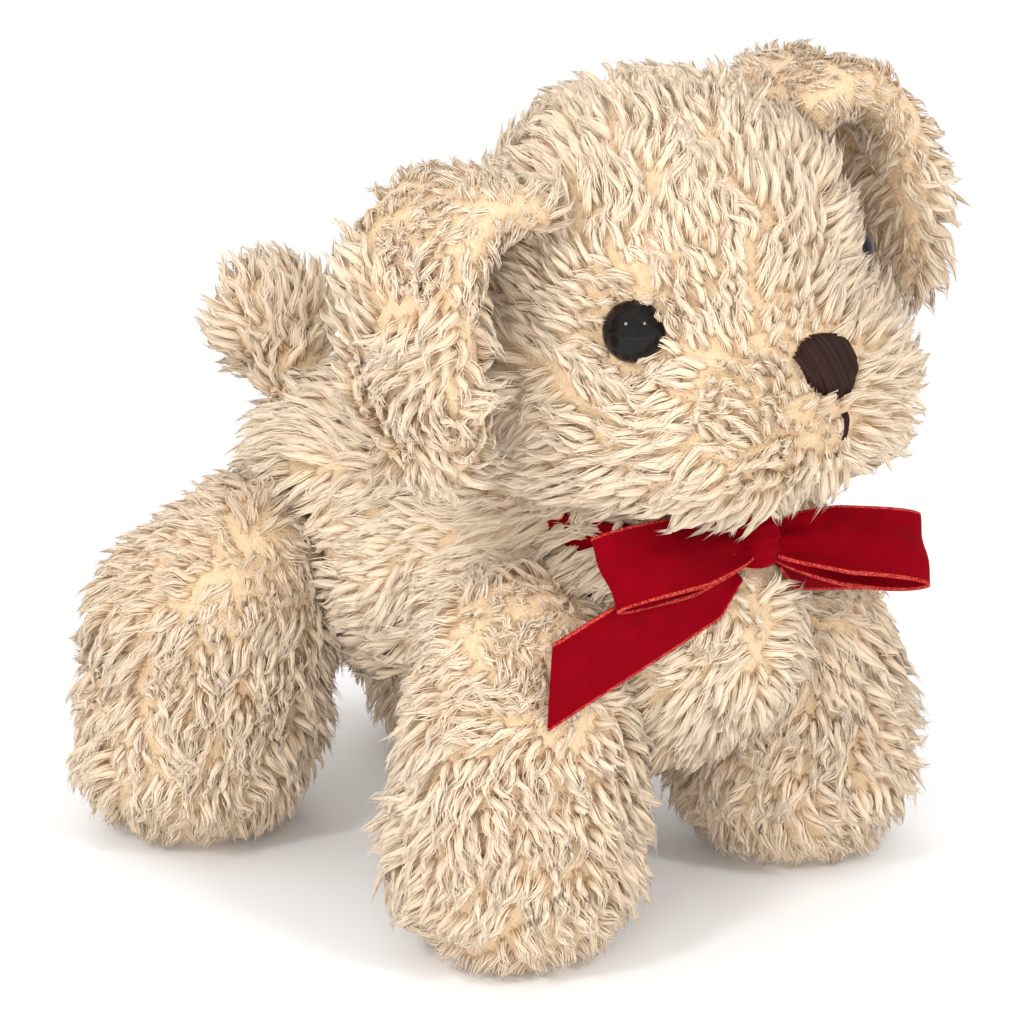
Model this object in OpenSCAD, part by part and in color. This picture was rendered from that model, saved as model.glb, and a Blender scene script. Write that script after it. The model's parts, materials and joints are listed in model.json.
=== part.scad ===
// Standing plush puppy with a velvet ribbon bow.
// The puppy faces -Y, its left side is +X, and its soles stand on z = 0.
// Cloth pieces are shells, the filling inside each is a separate solid.

/* [Torso] */
// How far the middle of the four paws lies behind the origin
paws_back = 9.5; // [0:0.5:16]
// How far the chest's centre lies behind the front paws
chest_inset = 2; // [-4:1:8]
// How far the rump's centre lies in front of the rear paws
rump_inset = 15; // [8:1:20]
// Height of the chest's centre
chest_height = 60; // [56:1:70]
// Height of the rump's centre
rump_height = 64; // [58:1:74]
// Radius of the chest
chest_r = 30; // [26:1:33]
// Radius of the waist
waist_r = 28.5; // [24:0.5:30]
// Radius of the rump
rump_r = 30; // [26:1:34]
// Height of the seam where the belly piece meets the side pieces
belly_seam_height = 46; // [42:1:56]

/* [Legs] */
// Distance between the centres of a left and a right paw
track = 80; // [72:1:96]
// Distance between the centres of a front and a rear paw
wheelbase = 94; // [84:1:106]
// Radius of a paw
paw_r = 23; // [19:0.5:26]
// Height of a paw's centre
paw_height = 19.5; // [17:0.5:21]
// Radius of a shank
shank_r = 20.5; // [17:0.5:23]
// Height of a shank's widest point
shank_height = 45; // [40:1:50]
// Radius of a front leg at the shoulder
shoulder_r = 18.5; // [15:0.5:20]
// Radius of a rear leg at the hip
hip_r = 18; // [15:0.5:21]
// How much closer to the middle the shoulder is than its paw
shoulder_inset = 4; // [2:0.5:7]
// How much closer to the middle the hip is than its paw
hip_inset = 8; // [4:0.5:10]
// How far the hip lies in front of the rear paw
hip_forward = 8; // [4:0.5:12]
// Height of the shoulder and hip pivots
leg_pivot_height = 57; // [52:1:64]
// Radius of a sole panel
sole_r = 11.5; // [8:0.5:12.5]
// Thickness of a sole panel
sole_t = 2.5; // [1.5:0.5:4]

/* [Head] */
// Radius of the skull
skull_r = 37; // [34:0.5:42]
// Radius of a cheek
cheek_r = 29; // [26:0.5:32]
// Distance of a cheek's centre from the middle
cheek_out = 13; // [9:0.5:16]
// How far the cheeks' centres lie below the head's centre
cheek_drop = 12; // [8:0.5:15]
// How far the skull's centre lies above the head's centre
skull_rise = 4.5; // [1:0.5:7]
// Radius of the muzzle's pads
muzzle_r = 17; // [14:0.5:20]
// How far the muzzle's pads lie in front of the head's centre
muzzle_forward = 31; // [27:0.5:36]
// How far the muzzle lies below the head's centre
muzzle_drop = 16; // [12:0.5:19]
// Sideways tilt of the head, towards the right shoulder
head_tilt = 6.3; // [0:0.1:12]
// Turn of the head, towards the left
head_turn = -3; // [-12:0.5:12]
// How far the cheeks sink into the neck
neck_overlap = 4; // [2:0.5:6]
// Half width of the gusset over the crown
gusset_half = 11; // [8:0.5:15]

/* [Face] */
// Diameter of an eye
eye_d = 12; // [9:0.5:14]
// Angle of the eyes from straight ahead
eye_spread = 51; // [40:1:60]
// Angle of the eyes above the skull's centre
eye_rise = 0.5; // [-6:1:10]
// Depth of the eye's seat in the cloth
eye_seat = 2; // [1:0.25:2.5]
// Diameter of the eye's shank
eye_shank_d = 4; // [3:0.25:5]
// Length of the eye's shank
eye_shank = 10; // [8:0.5:12]
// Diameter of the locking washer
washer_d = 14; // [11:0.5:15]
// Thickness of the locking washer
washer_t = 1.6; // [1:0.1:2.5]
// Size of the embroidered nose, across
nose_w = 13.5; // [10:0.5:16]
// Thickness of the embroidery
nose_t = 1.5; // [1:0.1:2.5]
// Upward angle of the nose on the muzzle
nose_rise = 35; // [24:1:42]
// Length of the mouth stitch
mouth_l = 7; // [4:0.5:9]

/* [Ears] */
// Half width of an ear
ear_half = 16.5; // [13:0.5:20]
// Thickness of each of an ear's two faces
ear_face_t = 4; // [2.5:0.5:5]
// Angle of an ear's root above the skull's centre
ear_rise = 33.5; // [24:0.5:42]
// How far an ear's root stands off the skull
ear_standoff = 3.8; // [3:0.1:6]
// How far the ear lies behind the head's centre
ear_back = 1; // [-4:0.5:6]
// Length from the ear's root to its tip, straight down
ear_drop = 47; // [40:1:56]
// How far the ear's tip stands out from its root
ear_out = 24; // [18:1:30]
// Extra lift of the left ear
ear_left_lift = 4; // [0:1:20]

/* [Tail] */
// Radius of the tail's bulb
tail_r = 11; // [8:0.5:13]
// Radius of the tail's root
tail_root_r = 8; // [6:0.5:9.5]
// Distance of the bulb from the root
tail_l = 18; // [14:0.5:24]
// Angle of the tail above level
tail_rise = 54; // [40:1:75]
// Angle at which the tail meets the rump, above level
tail_seat_rise = 40; // [28:1:46]

/* [Ribbon] */
// Width of the ribbon
ribbon_w = 15; // [10:0.5:17]
// Thickness of the ribbon
ribbon_t = 0.9; // [0.6:0.1:1.4]
// Height of the gathered band round the neck
band_w = 7; // [5:0.5:8]
// How far the band lies below the neck seam
band_drop = 7.25; // [6:0.25:8.5]
// Radius of the knot
knot_r = 4.3; // [3.5:0.1:5.5]
// Height of the knot
knot_h = 11; // [8:0.5:12]
// Thickness of a bow loop at its fullest
loop_t = 6; // [4:0.5:7]
// Length of a bow loop
loop_l = 33; // [24:1:40]
// Length of a bow tail
bow_tail_l = 47; // [30:1:52]

/* [Cloth and clearances] */
// Thickness of the backing cloth with its pressed pile
cloth_t = 3.5; // [3:0.25:4]
// Clearance between a cover and its filling
filling_gap = 0.3; // [0.2:0.1:0.6]
// Clearance at a joint between two soft parts
joint_gap = 1; // [0.8:0.1:1.6]
// Gap between the head and the torso at the neck seam
neck_gap = 4.4; // [3.6:0.2:6]
// Radius of the filling that joins the head to the torso
neck_r = 14; // [11:0.5:16]
// Clearance between trim pieces that lie against each other
trim_gap = 0.3; // [0.2:0.1:0.6]
// Swing of each leg, forward and back
leg_swing = 12; // [6:1:14]

/* [Hidden] */

RIGHT = -1;
LEFT = 1;
FRONT = -1;
REAR = 1;
far = 300;                  // larger than the whole puppy
soft_fn = 20;               // sides of the plain soft forms
round_fn = 64;              // sides of the hard round pieces

// Torso: a chain of balls from the chest to the rump
chest_at = [0, paws_back - wheelbase / 2 + chest_inset, chest_height];
rump_at = [0, paws_back + wheelbase / 2 - rump_inset, rump_height];
torso_steps = 3;
waist_dip = (chest_r + rump_r) / 2 - waist_r;
torso_points = [for (i = [0:torso_steps]) let (t = i / torso_steps)
    chest_at * (1 - t) + rump_at * t];
torso_radii = [for (i = [0:torso_steps]) let (t = i / torso_steps)
    chest_r * (1 - t) + rump_r * t - waist_dip * 4 * t * (1 - t)];

// Neck: the point that the head turns and nods about
neck_sink = 2;
neck_at = chest_at + [0, 0, chest_r - neck_sink];
neck_clear_r = cheek_r + cheek_out - neck_overlap;

// Head: its centre, and its balls in its own frame
head_back = 0.5;
head_at = neck_at + [0, head_back, cheek_drop + cheek_r - neck_overlap];
bridge_r = 17;
skull_lead = 2;
head_balls = [
    [[0, -skull_lead, skull_rise], skull_r],
    [[-cheek_out, -3, -cheek_drop], cheek_r],
    [[cheek_out, -3, -cheek_drop], cheek_r],
    [[-cheek_out, -muzzle_forward, -muzzle_drop - 1], muzzle_r],
    [[cheek_out, -muzzle_forward, -muzzle_drop - 1], muzzle_r],
    [[0, -muzzle_forward - 2, -muzzle_drop + 1], muzzle_r],
    [[0, -skull_r - skull_lead + bridge_r, skull_rise - 3], bridge_r]
];
head_links = [[0, 1], [0, 2], [1, 2], [1, 3], [2, 4], [3, 5], [4, 5], [0, 6], [6, 5]];
skull_at = head_balls[0][0];
nose_ball_at = head_balls[5][0];
muzzle_seam = muzzle_forward - 5;

// Eyes: built along +Z at the skull's centre, then turned outwards
eye_r = eye_d / 2;
eye_floor = skull_r - eye_seat;
facet_share = pow(cos(180 / soft_fn), 2);
washer_room = (skull_r - cloth_t) * facet_share - trim_gap;
washer_top = sqrt(pow(washer_room, 2) - pow(washer_d / 2, 2));

// Ears: an arch from the root, out over the side of the head and down
ear_steps = 14;
ear_root_out = (skull_r + ear_standoff) * cos(ear_rise);
ear_root_up = skull_rise + (skull_r + ear_standoff) * sin(ear_rise);
ear_top_out = 20;
ear_top_up = 11;
ear_fall_out = 33;
ear_fall_down = 6;
ear_tip_round = 18;

// Tail
tail_neck_r = tail_root_r - 1;
tail_at = rump_at + (rump_r + 0.8) * [0, cos(tail_seat_rise), sin(tail_seat_rise)];

// Ribbon: the band, the knot and the places of the loops and tails
band_at = neck_at - [0, 0, band_drop];
band_r = sqrt(pow(chest_r, 2) - pow(chest_r - neck_sink - band_drop, 2)) + 0.7;
knot_at = band_at + [0, -(band_r + ribbon_t + trim_gap + knot_r), 0];
loop_right_dir = [-36, 6, -0.5];
loop_left_dir = [35, -15, -7];
tail_right_dir = [-39, 7.5, -16.5];
tail_left_dir = [30, 9, -8];
loop_start = knot_r + 2 * trim_gap;
strap_start = [knot_r + 1.5, 0.8, -4.5];
slant = 3.7;

// Leg layout: paw, shank and shoulder or hip for each end
shank_inset = 2;
shank_back = 1;
shoulder_back = 2;
function paw_at(side, end) = [side * track / 2, paws_back + end * wheelbase / 2, paw_height];
function shank_at(side, end) = [
    side * (track / 2 - shank_inset),
    paws_back + end * wheelbase / 2 + shank_back,
    shank_height
];
function pivot_at(side, end) = end == FRONT
    ? [side * (track / 2 - shoulder_inset), paws_back - wheelbase / 2 + shoulder_back, leg_pivot_height]
    : [side * (track / 2 - hip_inset), paws_back + wheelbase / 2 - hip_forward, leg_pivot_height];
function pivot_r(end) = end == FRONT ? shoulder_r : hip_r;

function unit(v) = v / norm(v);
function bezier(a, b, c, d, t) =
    a * pow(1 - t, 3) + b * 3 * t * pow(1 - t, 2) + c * 3 * pow(t, 2) * (1 - t) + d * pow(t, 3);

// ---------- shared shapes ----------

module ball(at, r) {
    translate(at) sphere(r = r, $fn = soft_fn);
}

// Places children with +X along one direction and +Z as near as can be to another
module aimed(at, along, facing) {
    x = unit(along);
    y = unit(cross(facing, x));
    z = cross(x, y);
    multmatrix([
        [x[0], y[0], z[0], at[0]],
        [x[1], y[1], z[1], at[1]],
        [x[2], y[2], z[2], at[2]],
        [0, 0, 0, 1]
    ]) children();
}

module in_head() {
    translate(head_at) rotate([0, -head_tilt, head_turn]) children();
}

module above(z) {
    translate([-far / 2, -far / 2, z]) cube(far);
}

module below(z) {
    translate([-far / 2, -far / 2, z - far]) cube(far);
}

module beside(side, x) {
    translate([side == RIGHT ? -x - far : x, -far / 2, -far / 2]) cube(far);
}

// ---------- legs ----------

module leg_form(side, end, grow) {
    hull() {
        ball(paw_at(side, end), paw_r + grow);
        ball(shank_at(side, end), shank_r + grow);
        ball(pivot_at(side, end), pivot_r(end) + grow);
    }
}

module leg_turned(side, end, angle, grow) {
    pivot = pivot_at(side, end);
    translate(pivot) rotate([angle, 0, 0]) translate(-pivot) leg_form(side, end, grow);
}

// Everything that a leg passes through as it swings
module leg_sweep(side, end, grow) {
    for (part = [-1, 0]) hull() {
        leg_turned(side, end, part * leg_swing, grow);
        leg_turned(side, end, (part + 1) * leg_swing, grow);
    }
}

module sole_hole(side, end, grow) {
    paw = paw_at(side, end);
    translate([paw[0], paw[1], -1]) cylinder(r = sole_r + grow, h = sole_t + grow + 1, $fn = round_fn);
}

module leg_cover(side, end) {
    color("wheat") difference() {
        leg_form(side, end, 0);
        leg_form(side, end, -cloth_t);
        sole_hole(side, end, trim_gap);
        below(0);
    }
}

module leg_sole(side, end) {
    paw = paw_at(side, end);
    color("tan") translate([paw[0], paw[1], 0]) cylinder(r = sole_r, h = sole_t, $fn = round_fn);
}

module leg_filling(side, end) {
    color("white") difference() {
        leg_form(side, end, -cloth_t - filling_gap);
        below(sole_t + filling_gap);
    }
}

// ---------- torso ----------

module torso_form(grow) {
    for (i = [0:torso_steps - 1]) hull() {
        ball(torso_points[i], torso_radii[i] + grow);
        ball(torso_points[i + 1], torso_radii[i + 1] + grow);
    }
}

// The torso with room for the legs, the head, the neck filling and the tail
module torso_solid(inset) {
    difference() {
        torso_form(-inset);
        for (side = [RIGHT, LEFT], end = [FRONT, REAR]) leg_sweep(side, end, joint_gap + inset);
        translate(neck_at - [0, 0, neck_gap / 2 + inset])
            cylinder(r = neck_clear_r + inset, h = far, $fn = 48);
        ball(neck_at, neck_r + joint_gap + inset);
        ball(tail_at, tail_root_r + joint_gap + inset);
    }
}

// The band lies in a groove that it has pulled into the torso, and the knot in a hollow
module ribbon_bed(grow) {
    bulge = 1.5;
    translate(band_at) rotate_extrude($fn = 48)
        translate([band_r - trim_gap - grow, -band_w / 2 - trim_gap - grow])
            square([ribbon_t + bulge + 2 * (trim_gap + grow), band_w + 2 * (trim_gap + grow)]);
    translate(knot_at)
        cylinder(r = knot_r + trim_gap + grow, h = knot_h + 2 * (trim_gap + grow), center = true, $fn = 48);
}

module torso_skin() {
    difference() {
        torso_solid(0);
        torso_solid(cloth_t);
        ribbon_bed(0);
    }
}

module torso_side_panel(side) {
    color("wheat") intersection() {
        torso_skin();
        beside(side, 0);
        above(belly_seam_height);
    }
}

module torso_right_panel() {
    torso_side_panel(RIGHT);
}

module torso_left_panel() {
    torso_side_panel(LEFT);
}

module belly_gusset() {
    color("moccasin") intersection() {
        torso_skin();
        below(belly_seam_height);
    }
}

module torso_filling() {
    color("white") difference() {
        torso_solid(cloth_t + filling_gap);
        ribbon_bed(filling_gap);
    }
}

module neck_filling() {
    color("white") translate(neck_at) sphere(r = neck_r, $fn = round_fn);
}

// ---------- head ----------

module head_form(grow) {
    for (link = head_links) hull() {
        for (i = link) ball(head_balls[i][0], head_balls[i][1] + grow);
    }
}

module eye_axis(side) {
    translate(skull_at) rotate([0, 0, -side * (90 - eye_spread)])
        rotate([0, side * (90 - eye_rise), 0]) children();
}

// The rounded end of each ear turns in a groove along the side of the crown
module ear_groove(side, grow) {
    translate([side * ear_root_out, ear_back, ear_root_up]) rotate([90, 0, 0])
        cylinder(r = ear_face_t + joint_gap + grow, h = 2 * (ear_half + joint_gap + grow),
                 center = true, $fn = 24);
}

module head_solid(inset) {
    difference() {
        in_head() difference() {
            head_form(-inset);
            for (side = [RIGHT, LEFT]) ear_groove(side, inset);
        }
        translate([0, 0, neck_at[2] + neck_gap / 2 + inset]) below(0);
        ball(neck_at, neck_r + joint_gap + inset);
    }
}

module head_skin() {
    difference() {
        head_solid(0);
        head_solid(cloth_t);
        in_head() for (side = [RIGHT, LEFT]) eye_axis(side) {
            translate([0, 0, eye_floor - trim_gap / 3]) cylinder(r = eye_r + trim_gap, h = 20, $fn = 32);
            cylinder(d = eye_shank_d + trim_gap, h = skull_r, $fn = 24);
        }
        nose_seat(0);
    }
}

module in_front_of(y) {
    translate([-far / 2, y - far, -far / 2]) cube(far);
}

module behind(y) {
    translate([-far / 2, y, -far / 2]) cube(far);
}

module head_side_panel(side) {
    color("wheat") intersection() {
        head_skin();
        in_head() intersection() {
            beside(side, gusset_half);
            behind(-muzzle_seam);
        }
    }
}

module head_right_panel() {
    head_side_panel(RIGHT);
}

module head_left_panel() {
    head_side_panel(LEFT);
}

module head_gusset() {
    color("moccasin") intersection() {
        head_skin();
        in_head() translate([-gusset_half, -muzzle_seam, -far / 2]) cube([2 * gusset_half, far, far]);
    }
}

module muzzle_panel() {
    color("wheat") intersection() {
        head_skin();
        in_head() in_front_of(-muzzle_seam);
    }
}

module head_filling() {
    color("white") difference() {
        head_solid(cloth_t + filling_gap);
        in_head() for (side = [RIGHT, LEFT]) eye_axis(side)
            translate([0, 0, skull_r - eye_shank - cloth_t])
                cylinder(d = washer_d + 2 * trim_gap, h = far, $fn = 24);
        nose_seat(filling_gap);
    }
}

// ---------- face ----------

module eye(side) {
    dome_sink = 1;
    color("black") in_head() eye_axis(side) {
        intersection() {
            translate([0, 0, eye_floor + dome_sink]) sphere(r = eye_r, $fn = round_fn);
            translate([0, 0, eye_floor]) cylinder(r = eye_r + 1, h = eye_d, $fn = round_fn);
        }
        translate([0, 0, eye_floor - eye_shank + dome_sink])
            cylinder(d = eye_shank_d, h = eye_shank - dome_sink, $fn = round_fn);
    }
}

module eye_right() {
    eye(RIGHT);
}

module eye_left() {
    eye(LEFT);
}

module eye_washer(side) {
    color("dimgray") in_head() eye_axis(side) translate([0, 0, washer_top - washer_t]) difference() {
        cylinder(d = washer_d, h = washer_t, $fn = round_fn);
        translate([0, 0, -1]) cylinder(d = eye_shank_d + 0.1, h = washer_t + 2, $fn = round_fn);
    }
}

module eye_washer_right() {
    eye_washer(RIGHT);
}

module eye_washer_left() {
    eye_washer(LEFT);
}

// Places children on the muzzle's front ball, with +Z pointing straight out of it
module on_muzzle(rise) {
    in_head() translate(nose_ball_at) rotate([90 - rise, 0, 0]) children();
}

// A rounded triangle, wide at the top: three broad arcs laid over each other
module nose_outline() {
    arc_r = nose_w * 0.62;
    shift = nose_w * 0.13;
    intersection_for (a = [-90, 30, 150])
        translate(shift * [cos(a), sin(a)]) circle(r = arc_r, $fn = round_fn);
}

// The muzzle's cloth is drawn in under the embroidery
module nose_seat(grow) {
    on_muzzle(nose_rise) difference() {
        linear_extrude(far) offset(r = trim_gap + grow) nose_outline();
        sphere(r = muzzle_r - grow, $fn = round_fn);
    }
}

module nose_embroidery() {
    color("saddlebrown") on_muzzle(nose_rise) difference() {
        intersection() {
            sphere(r = muzzle_r + trim_gap + nose_t, $fn = round_fn);
            linear_extrude(far) nose_outline();
        }
        sphere(r = muzzle_r + trim_gap, $fn = round_fn);
    }
}

module mouth_stitch() {
    thread_r = 0.6;
    mouth_turn = 38;
    color("saddlebrown") on_muzzle(nose_rise - mouth_turn)
        translate([0, 0, muzzle_r + thread_r + trim_gap]) rotate([90, 0, 0])
            cylinder(r = thread_r, h = mouth_l, center = true, $fn = round_fn);
}

// ---------- ears ----------

function ear_mid(t) = bezier(
    [0, 0], [ear_top_out, ear_top_up], [ear_fall_out, -ear_fall_down], [ear_out, -ear_drop], t
);
function ear_normal(t) = let (d = unit(ear_mid(t + 0.01) - ear_mid(t - 0.01))) [-d[1], d[0]];
function ear_edge(offset, first) = [
    for (i = [first:ear_steps]) let (t = i / ear_steps) ear_mid(t) + offset * ear_normal(t)
];
function reversed(list) = [for (i = [len(list) - 1:-1:0]) list[i]];

// One face of the ear, seen from the front: the arch between two offsets
module ear_arch(inner, outer) {
    polygon(concat(ear_edge(outer, 0), reversed(ear_edge(inner, 0))));
}

// The ear seen from the side: narrow at the root, full at the middle, round at the tip
module ear_side_outline() {
    top = ear_root_up + 40;
    full = ear_half;
    low = -ear_drop - 2;
    polygon([
        for (a = [0:15:180]) [full * cos(a), low + ear_tip_round - ear_tip_round * sin(a)],
        [-full, -12], [-full * 0.86, 6], [-full * 0.86, top],
        [full * 0.86, top], [full * 0.86, 6], [full, -12]
    ]);
}

module ear_frame(side) {
    lift = side == LEFT ? ear_left_lift : 0;
    in_head() translate([side * ear_root_out, ear_back, ear_root_up])
        rotate([0, -side * lift, 0]) mirror([side == RIGHT ? 1 : 0, 0, 0]) children();
}

module ear_face(side, inner, outer) {
    ear_frame(side) intersection() {
        rotate([90, 0, 0]) linear_extrude(2 * ear_half + 2, center = true) ear_arch(inner, outer);
        rotate([90, 0, 90]) linear_extrude(far, center = true) ear_side_outline();
    }
}

module ear_outer(side) {
    color("wheat") ear_face(side, trim_gap / 2, ear_face_t);
}

module ear_lining(side) {
    color("moccasin") ear_face(side, -ear_face_t, -trim_gap / 2);
}

module ear_right_outer() {
    ear_outer(RIGHT);
}

module ear_right_lining() {
    ear_lining(RIGHT);
}

module ear_left_outer() {
    ear_outer(LEFT);
}

module ear_left_lining() {
    ear_lining(LEFT);
}

// ---------- tail ----------

module tail_form(grow) {
    translate(tail_at) rotate([tail_rise - 90, 0, 0]) {
        sphere(r = tail_root_r + grow, $fn = round_fn);
        cylinder(r = tail_neck_r + grow, h = tail_l, $fn = round_fn);
        translate([0, 0, tail_l]) sphere(r = tail_r + grow, $fn = round_fn);
    }
}

module tail_cover() {
    color("wheat") difference() {
        tail_form(0);
        tail_form(-cloth_t);
    }
}

module tail_filling() {
    color("white") tail_form(-cloth_t - filling_gap);
}

// ---------- ribbon ----------

module neck_ribbon() {
    color("firebrick") translate(band_at) rotate_extrude($fn = round_fn)
        translate([band_r, -band_w / 2]) square([ribbon_t, band_w]);
}

module bow_knot() {
    corner = 1.5;
    color("firebrick") translate(knot_at) rotate_extrude($fn = round_fn) polygon([
        [0, -knot_h / 2],
        for (a = [-90:15:0]) [knot_r - corner + corner * cos(a), corner - knot_h / 2 + corner * sin(a)],
        for (a = [0:15:90]) [knot_r - corner + corner * cos(a), knot_h / 2 - corner + corner * sin(a)],
        [0, knot_h / 2]
    ]);
}

// A loop's outline: pinched at the knot, fullest past the middle
function loop_outline(length, half, start) = [
    for (a = [0:12:348])
        [start + length * (1 - cos(a)) / 2, half * sin(a) * sqrt((1 - cos(a)) / 2) * 1.3]
];

module bow_loop(direction) {
    out = knot_at - chest_at;
    color("firebrick") aimed(knot_at, direction, out) rotate([90, 0, 0])
        linear_extrude(ribbon_w, center = true) difference() {
            polygon(loop_outline(loop_l, loop_t / 2, loop_start));
            polygon(loop_outline(loop_l - 5 * ribbon_t, loop_t / 2 - ribbon_t, loop_start + 3.5 * ribbon_t));
        }
}

module bow_loop_right() {
    bow_loop(loop_right_dir);
}

module bow_loop_left() {
    bow_loop(loop_left_dir);
}

module bow_tail(side, direction) {
    start = knot_at + [side * strap_start[0], strap_start[1], strap_start[2]];
    out = start + direction / 2 - chest_at;
    cut = side * slant;
    color("firebrick") aimed(start, direction, out) linear_extrude(ribbon_t, center = true) polygon([
        [0, -ribbon_w / 5], [ribbon_w / 2, -ribbon_w / 2], [bow_tail_l + cut, -ribbon_w / 2],
        [bow_tail_l - cut, ribbon_w / 2], [ribbon_w / 2, ribbon_w / 2], [0, ribbon_w / 5]
    ]);
}

module bow_tail_right() {
    bow_tail(RIGHT, tail_right_dir);
}

module bow_tail_left() {
    bow_tail(LEFT, tail_left_dir);
}

// ---------- the pieces ----------

torso_right_panel();
torso_left_panel();
belly_gusset();
torso_filling();
neck_filling();
neck_ribbon();
bow_knot();
bow_loop_right();
bow_loop_left();
bow_tail_right();
bow_tail_left();
head_right_panel();
head_left_panel();
head_gusset();
muzzle_panel();
head_filling();
eye_right();
eye_left();
eye_washer_right();
eye_washer_left();
nose_embroidery();
mouth_stitch();
ear_right_outer();
ear_right_lining();
ear_left_outer();
ear_left_lining();
tail_cover();
tail_filling();
leg_cover(RIGHT, FRONT);  // leg_front_right_cover
leg_sole(RIGHT, FRONT);  // leg_front_right_sole
leg_filling(RIGHT, FRONT);  // leg_front_right_filling
leg_cover(LEFT, FRONT);  // leg_front_left_cover
leg_sole(LEFT, FRONT);  // leg_front_left_sole
leg_filling(LEFT, FRONT);  // leg_front_left_filling
leg_cover(RIGHT, REAR);  // leg_rear_right_cover
leg_sole(RIGHT, REAR);  // leg_rear_right_sole
leg_filling(RIGHT, REAR);  // leg_rear_right_filling
leg_cover(LEFT, REAR);  // leg_rear_left_cover
leg_sole(LEFT, REAR);  // leg_rear_left_sole
leg_filling(LEFT, REAR);  // leg_rear_left_filling
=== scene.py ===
"""Looks of a standing plush puppy with a velvet ribbon bow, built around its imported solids."""

import json
import math

import bmesh
import bpy
import numpy as np
from mathutils import Euler, Matrix, Vector, kdtree, noise
from mathutils.bvhtree import BVHTree


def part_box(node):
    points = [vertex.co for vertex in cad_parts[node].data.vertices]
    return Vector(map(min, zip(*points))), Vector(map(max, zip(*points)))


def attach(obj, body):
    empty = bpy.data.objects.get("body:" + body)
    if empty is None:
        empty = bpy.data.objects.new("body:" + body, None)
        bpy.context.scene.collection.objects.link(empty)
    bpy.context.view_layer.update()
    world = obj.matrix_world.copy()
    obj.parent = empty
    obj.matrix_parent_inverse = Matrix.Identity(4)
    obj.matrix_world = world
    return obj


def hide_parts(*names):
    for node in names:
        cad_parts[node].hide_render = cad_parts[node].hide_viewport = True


bl_info = {
    "name": "Plush Puppy",
    "version": (1, 0, 0),
    "blender": (4, 5, 0),
    "location": "View3D > Sidebar > Puppy",
    "description": "Builds a long-pile plush puppy around its cut pieces",
    "category": "Add Mesh",
}

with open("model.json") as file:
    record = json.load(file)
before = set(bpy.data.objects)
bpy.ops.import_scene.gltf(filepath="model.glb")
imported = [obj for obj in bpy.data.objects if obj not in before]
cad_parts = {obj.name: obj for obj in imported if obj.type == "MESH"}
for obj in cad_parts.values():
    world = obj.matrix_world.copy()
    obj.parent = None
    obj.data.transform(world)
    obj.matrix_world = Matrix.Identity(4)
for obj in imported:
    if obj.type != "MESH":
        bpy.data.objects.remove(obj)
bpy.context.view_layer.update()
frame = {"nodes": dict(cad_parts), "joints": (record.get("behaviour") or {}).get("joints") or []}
JOINTS = {joint["name"]: joint for joint in frame["joints"]}
MM = 0.001

# ---------------------------------------------------------------- places taken from the frame

NECK = Vector(JOINTS["head_turn"]["pos_m"])
HEAD = Matrix.Translation(NECK + Vector((0, 0.5, 37)) * MM) @ Euler(
    (0, math.radians(-6.3), math.radians(-3)), "XYZ"
).to_matrix().to_4x4()
SIDES = {"right": -1, "left": 1}


def head_point(x, y, z):
    """A point given in the head's own frame, in millimetres."""
    return HEAD @ (Vector((x, y, z)) * MM)


def eye_frame(side):
    """+Z points out of the skull through the middle of the eye."""
    turn = Matrix.Rotation(math.radians(-side * 39), 4, "Z")
    lean = Matrix.Rotation(math.radians(side * 89.5), 4, "Y")
    return HEAD @ Matrix.Translation(Vector((0, -2, 4.5)) * MM) @ turn @ lean


def muzzle_frame(rise):
    """+Z points out of the muzzle's front ball, that many degrees above level."""
    lean = Matrix.Rotation(math.radians(90 - rise), 4, "X")
    return HEAD @ Matrix.Translation(Vector((0, -33, -15)) * MM) @ lean


EYE_OUT = 36 * MM
EYES = {name: eye_frame(side) @ Vector((0, 0, EYE_OUT)) for name, side in SIDES.items()}
NOSE_R = 17 * MM
NOSE = muzzle_frame(35)
NOSE_TIP = NOSE @ Vector((0, 0, NOSE_R))


def middle(node):
    low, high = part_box(node)
    return (low + high) / 2


# ---------------------------------------------------------------- meshes


def keep(name, bm, smooth=True):
    """A new object at the origin from a bmesh, in the scene."""
    mesh = bpy.data.meshes.new(name)
    bm.to_mesh(mesh)
    bm.free()
    return place(name, mesh, smooth)


def place(name, mesh, smooth=True):
    made = bpy.data.objects.new(name, mesh)
    bpy.context.scene.collection.objects.link(made)
    mesh.polygons.foreach_set("use_smooth", [smooth] * len(mesh.polygons))
    return made


def applied(thing):
    """Turns an object's modifiers into its mesh."""
    bpy.context.view_layer.update()
    graph = bpy.context.evaluated_depsgraph_get()
    mesh = bpy.data.meshes.new_from_object(thing.evaluated_get(graph), depsgraph=graph)
    old, thing.data = thing.data, mesh
    thing.modifiers.clear()
    bpy.data.meshes.remove(old)
    mesh.name = thing.name
    return thing


def outer_shell(bm):
    """Drops everything but the connected part that reaches furthest."""
    bm.verts.ensure_lookup_table()
    seen, best, best_size = set(), [], -1.0
    for start in bm.verts:
        if start.index in seen:
            continue
        part, queue = [], [start]
        seen.add(start.index)
        while queue:
            vert = queue.pop()
            part.append(vert)
            for edge in vert.link_edges:
                other = edge.other_vert(vert)
                if other.index not in seen:
                    seen.add(other.index)
                    queue.append(other)
        spots = np.array([v.co for v in part])
        size = float(np.linalg.norm(np.ptp(spots, axis=0)))
        if size > best_size:
            best, best_size = part, size
    kept = set(best)
    bmesh.ops.delete(bm, geom=[v for v in bm.verts if v not in kept], context="VERTS")


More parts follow.
